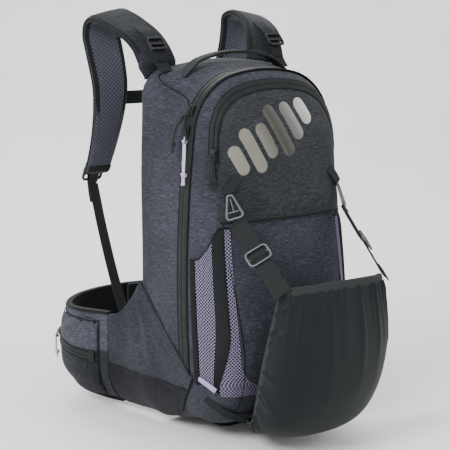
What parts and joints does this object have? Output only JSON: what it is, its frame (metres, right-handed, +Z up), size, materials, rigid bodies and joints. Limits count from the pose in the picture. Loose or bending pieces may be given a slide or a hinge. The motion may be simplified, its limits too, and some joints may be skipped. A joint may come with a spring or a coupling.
{
  "type": "ski backpack",
  "caption": "Compact ski backpack with padded shoulder straps, wrap-around hip belt with zipped pockets, zipped front pocket, mesh side pockets and a fabric helmet carrier.",
  "frame": {"origin": "middle of the bag's width on the floor plane, under the flat patch that the bag stands on", "axes": "+Z up along the bag's back, +Y towards the wearer's back, +X towards the wearer's right"},
  "size_m": [0.3385, 0.5845, 0.5995],
  "materials": {
    "heather_fabric": "heather charcoal weave with light flecks",
    "base_fabric": "dark coated weave",
    "webbing": "ribbed black webbing",
    "zip_tape": "laminated zip tape, satin",
    "spacer_mesh": "three-dimensional spacer mesh",
    "stretch_fabric": "ribbed stretch weave",
    "lilac_mesh": "open mesh in lilac over black",
    "lilac_cord": "braided cord",
    "black_cord": "braided cord",
    "black_plastic": "moulded, matt",
    "grey_metal": "satin grey",
    "foam_board": "closed-cell foam board"
  },
  "bodies": {
    "bag": {"front_shell": "heather_fabric", "rear_shell": "heather_fabric", "front_pocket": "heather_fabric", "strap_pad_left": "heather_fabric", "strap_pad_right": "heather_fabric", "hip_fin_left": "heather_fabric", "hip_fin_right": "heather_fabric", "base_panel": "base_fabric", "side_pocket_band_left": "webbing", "side_pocket_band_right": "webbing", "sternum_rail_left": "webbing", "sternum_rail_right": "webbing", "lifter_webbing_left": "webbing", "lifter_webbing_right": "webbing", "lower_webbing_left": "webbing", "lower_webbing_right": "webbing", "hook_loop_left": "webbing", "hook_loop_right": "webbing", "main_zip_tape": "zip_tape", "front_zip_tape": "zip_tape", "back_panel": "spacer_mesh", "back_pad_left": "spacer_mesh", "back_pad_right": "spacer_mesh", "lumbar_pad": "spacer_mesh", "side_pocket_left": "lilac_mesh", "side_pocket_right": "lilac_mesh", "back_protector": "foam_board"},
    "haul_handle": {"haul_handle": "webbing"},
    "sternum_strap": {"sternum_webbing_left": "webbing", "sternum_webbing_right": "webbing", "sternum_socket": "black_plastic"},
    "sternum_plug": {"sternum_plug": "black_plastic"},
    "left_hip_wing": {"hip_wing_left": "heather_fabric", "hip_pocket_left": "heather_fabric", "belt_closure_tab": "webbing"},
    "right_hip_wing": {"hip_wing_right": "heather_fabric", "hip_pocket_right": "heather_fabric"},
    "left_hip_zip": {"hip_zip_slider_left": "black_plastic", "hip_zip_cord_left": "lilac_cord"},
    "right_hip_zip": {"hip_zip_slider_right": "black_plastic", "hip_zip_cord_right": "lilac_cord"},
    "helmet_carrier": {"carrier_pouch": "stretch_fabric", "pouch_binding": "webbing", "carrier_strap_left": "webbing", "carrier_strap_right": "webbing"},
    "main_zip_lower": {"main_zip_slider_lower": "black_plastic", "main_zip_cord_lower": "lilac_cord"},
    "main_zip_upper": {"main_zip_slider_upper": "black_plastic", "main_zip_cord_upper": "black_cord"},
    "front_zip": {"front_zip_slider": "black_plastic", "front_zip_cord": "black_cord"},
    "left_lifter_buckle": {"lifter_buckle_left": "black_plastic"},
    "left_strap_adjuster": {"strap_adjuster_left": "black_plastic"},
    "left_carrier_hook": {"carrier_hook_left": "grey_metal"},
    "left_carrier_slider": {"carrier_slider_left": "grey_metal"},
    "right_lifter_buckle": {"lifter_buckle_right": "black_plastic"},
    "right_strap_adjuster": {"strap_adjuster_right": "black_plastic"},
    "right_carrier_hook": {"carrier_hook_right": "grey_metal"},
    "right_carrier_slider": {"carrier_slider_right": "grey_metal"}
  },
  "joints": [
    {"name": "haul_handle_flop", "type": "hinge", "parent": "bag", "child": "haul_handle", "pos_m": [0, 0.014, 0.524], "axis": [1, 0, 0], "range_deg": [-12, 12]},
    {"name": "left_lifter_buckle_tilt", "type": "hinge", "parent": "bag", "child": "left_lifter_buckle", "pos_m": [-0.1055, 0.0625, 0.5613], "axis": [-1, 0, 0], "range_deg": [0, 30]},
    {"name": "left_strap_adjuster_tilt", "type": "hinge", "parent": "bag", "child": "left_strap_adjuster", "pos_m": [-0.108, 0.2257, 0.3616], "axis": [1, 0, 0], "range_deg": [0, 30]},
    {"name": "right_lifter_buckle_tilt", "type": "hinge", "parent": "bag", "child": "right_lifter_buckle", "pos_m": [0.1055, 0.0625, 0.5613], "axis": [-1, 0, 0], "range_deg": [0, 30]},
    {"name": "right_strap_adjuster_tilt", "type": "hinge", "parent": "bag", "child": "right_strap_adjuster", "pos_m": [0.108, 0.2257, 0.3616], "axis": [1, 0, 0], "range_deg": [0, 30]},
    {"name": "sternum_strap_height", "type": "slide", "parent": "bag", "child": "sternum_strap", "axis": [0, 0, 1], "range_m": [-0.012, 0.02]},
    {"name": "sternum_plug_release", "type": "slide", "parent": "sternum_strap", "child": "sternum_plug", "axis": [1, 0, 0], "range_m": [0, 0.03]},
    {"name": "left_hip_wing_open", "type": "hinge", "parent": "bag", "child": "left_hip_wing", "pos_m": [-0.1452, 0.135, 0.08], "axis": [0, 0, 1], "range_deg": [0, 50]},
    {"name": "right_hip_wing_open", "type": "hinge", "parent": "bag", "child": "right_hip_wing", "pos_m": [0.1452, 0.135, 0.08], "axis": [0, 0, 1], "range_deg": [-50, 0]},
    {"name": "left_hip_zip_travel", "type": "hinge", "parent": "left_hip_wing", "child": "left_hip_zip", "pos_m": [-0.0675, 0.2011, 0.1059], "axis": [-0.176, -0.1, 0.9793], "range_deg": [0, 60]},
    {"name": "right_hip_zip_travel", "type": "hinge", "parent": "right_hip_wing", "child": "right_hip_zip", "pos_m": [0.07, 0.1975, 0.11], "axis": [-0.2083, 0.1308, -0.9693], "range_deg": [0, 52]},
    {"name": "helmet_carrier_open", "type": "hinge", "parent": "bag", "child": "helmet_carrier", "pos_m": [0, -0.098, 0.03], "axis": [1, 0, 0], "range_deg": [0, 12]},
    {"name": "left_carrier_hook_tilt", "type": "hinge", "parent": "helmet_carrier", "child": "left_carrier_hook", "pos_m": [-0.0964, -0.122, 0.3246], "axis": [0.741, -0.425, 0.52], "range_deg": [0, 25]},
    {"name": "left_carrier_slider_travel", "type": "slide", "parent": "helmet_carrier", "child": "left_carrier_slider", "axis": [-0.0422, 0.7435, 0.6675], "range_m": [-0.02, 0.02]},
    {"name": "right_carrier_hook_tilt", "type": "hinge", "parent": "helmet_carrier", "child": "right_carrier_hook", "pos_m": [0.0964, -0.122, 0.3246], "axis": [0.741, 0.425, -0.52], "range_deg": [0, 25]},
    {"name": "right_carrier_slider_travel", "type": "slide", "parent": "helmet_carrier", "child": "right_carrier_slider", "axis": [0.0422, 0.7435, 0.6675], "range_m": [-0.02, 0.02]},
    {"name": "main_zip_lower_travel", "type": "hinge", "parent": "bag", "child": "main_zip_lower", "pos_m": [1.7285, -0.045, 0.22], "axis": [0, 1, 0], "range_deg": [-6.4, 0]},
    {"name": "main_zip_upper_travel", "type": "hinge", "parent": "bag", "child": "main_zip_upper", "pos_m": [-0.0331, -0.045, 0.4299], "axis": [0, 1, 0], "range_deg": [0, 30]},
    {"name": "front_zip_travel", "type": "hinge", "parent": "bag", "child": "front_zip", "pos_m": [0.0007, -0.0738, 0.4115], "axis": [-0.1163, 0.9911, -0.0648], "range_deg": [0, 30]}
  ],
  "couplings": [
    {"joint": "right_hip_wing_open", "follows": "left_hip_wing_open", "ratio": -1}
  ]
}
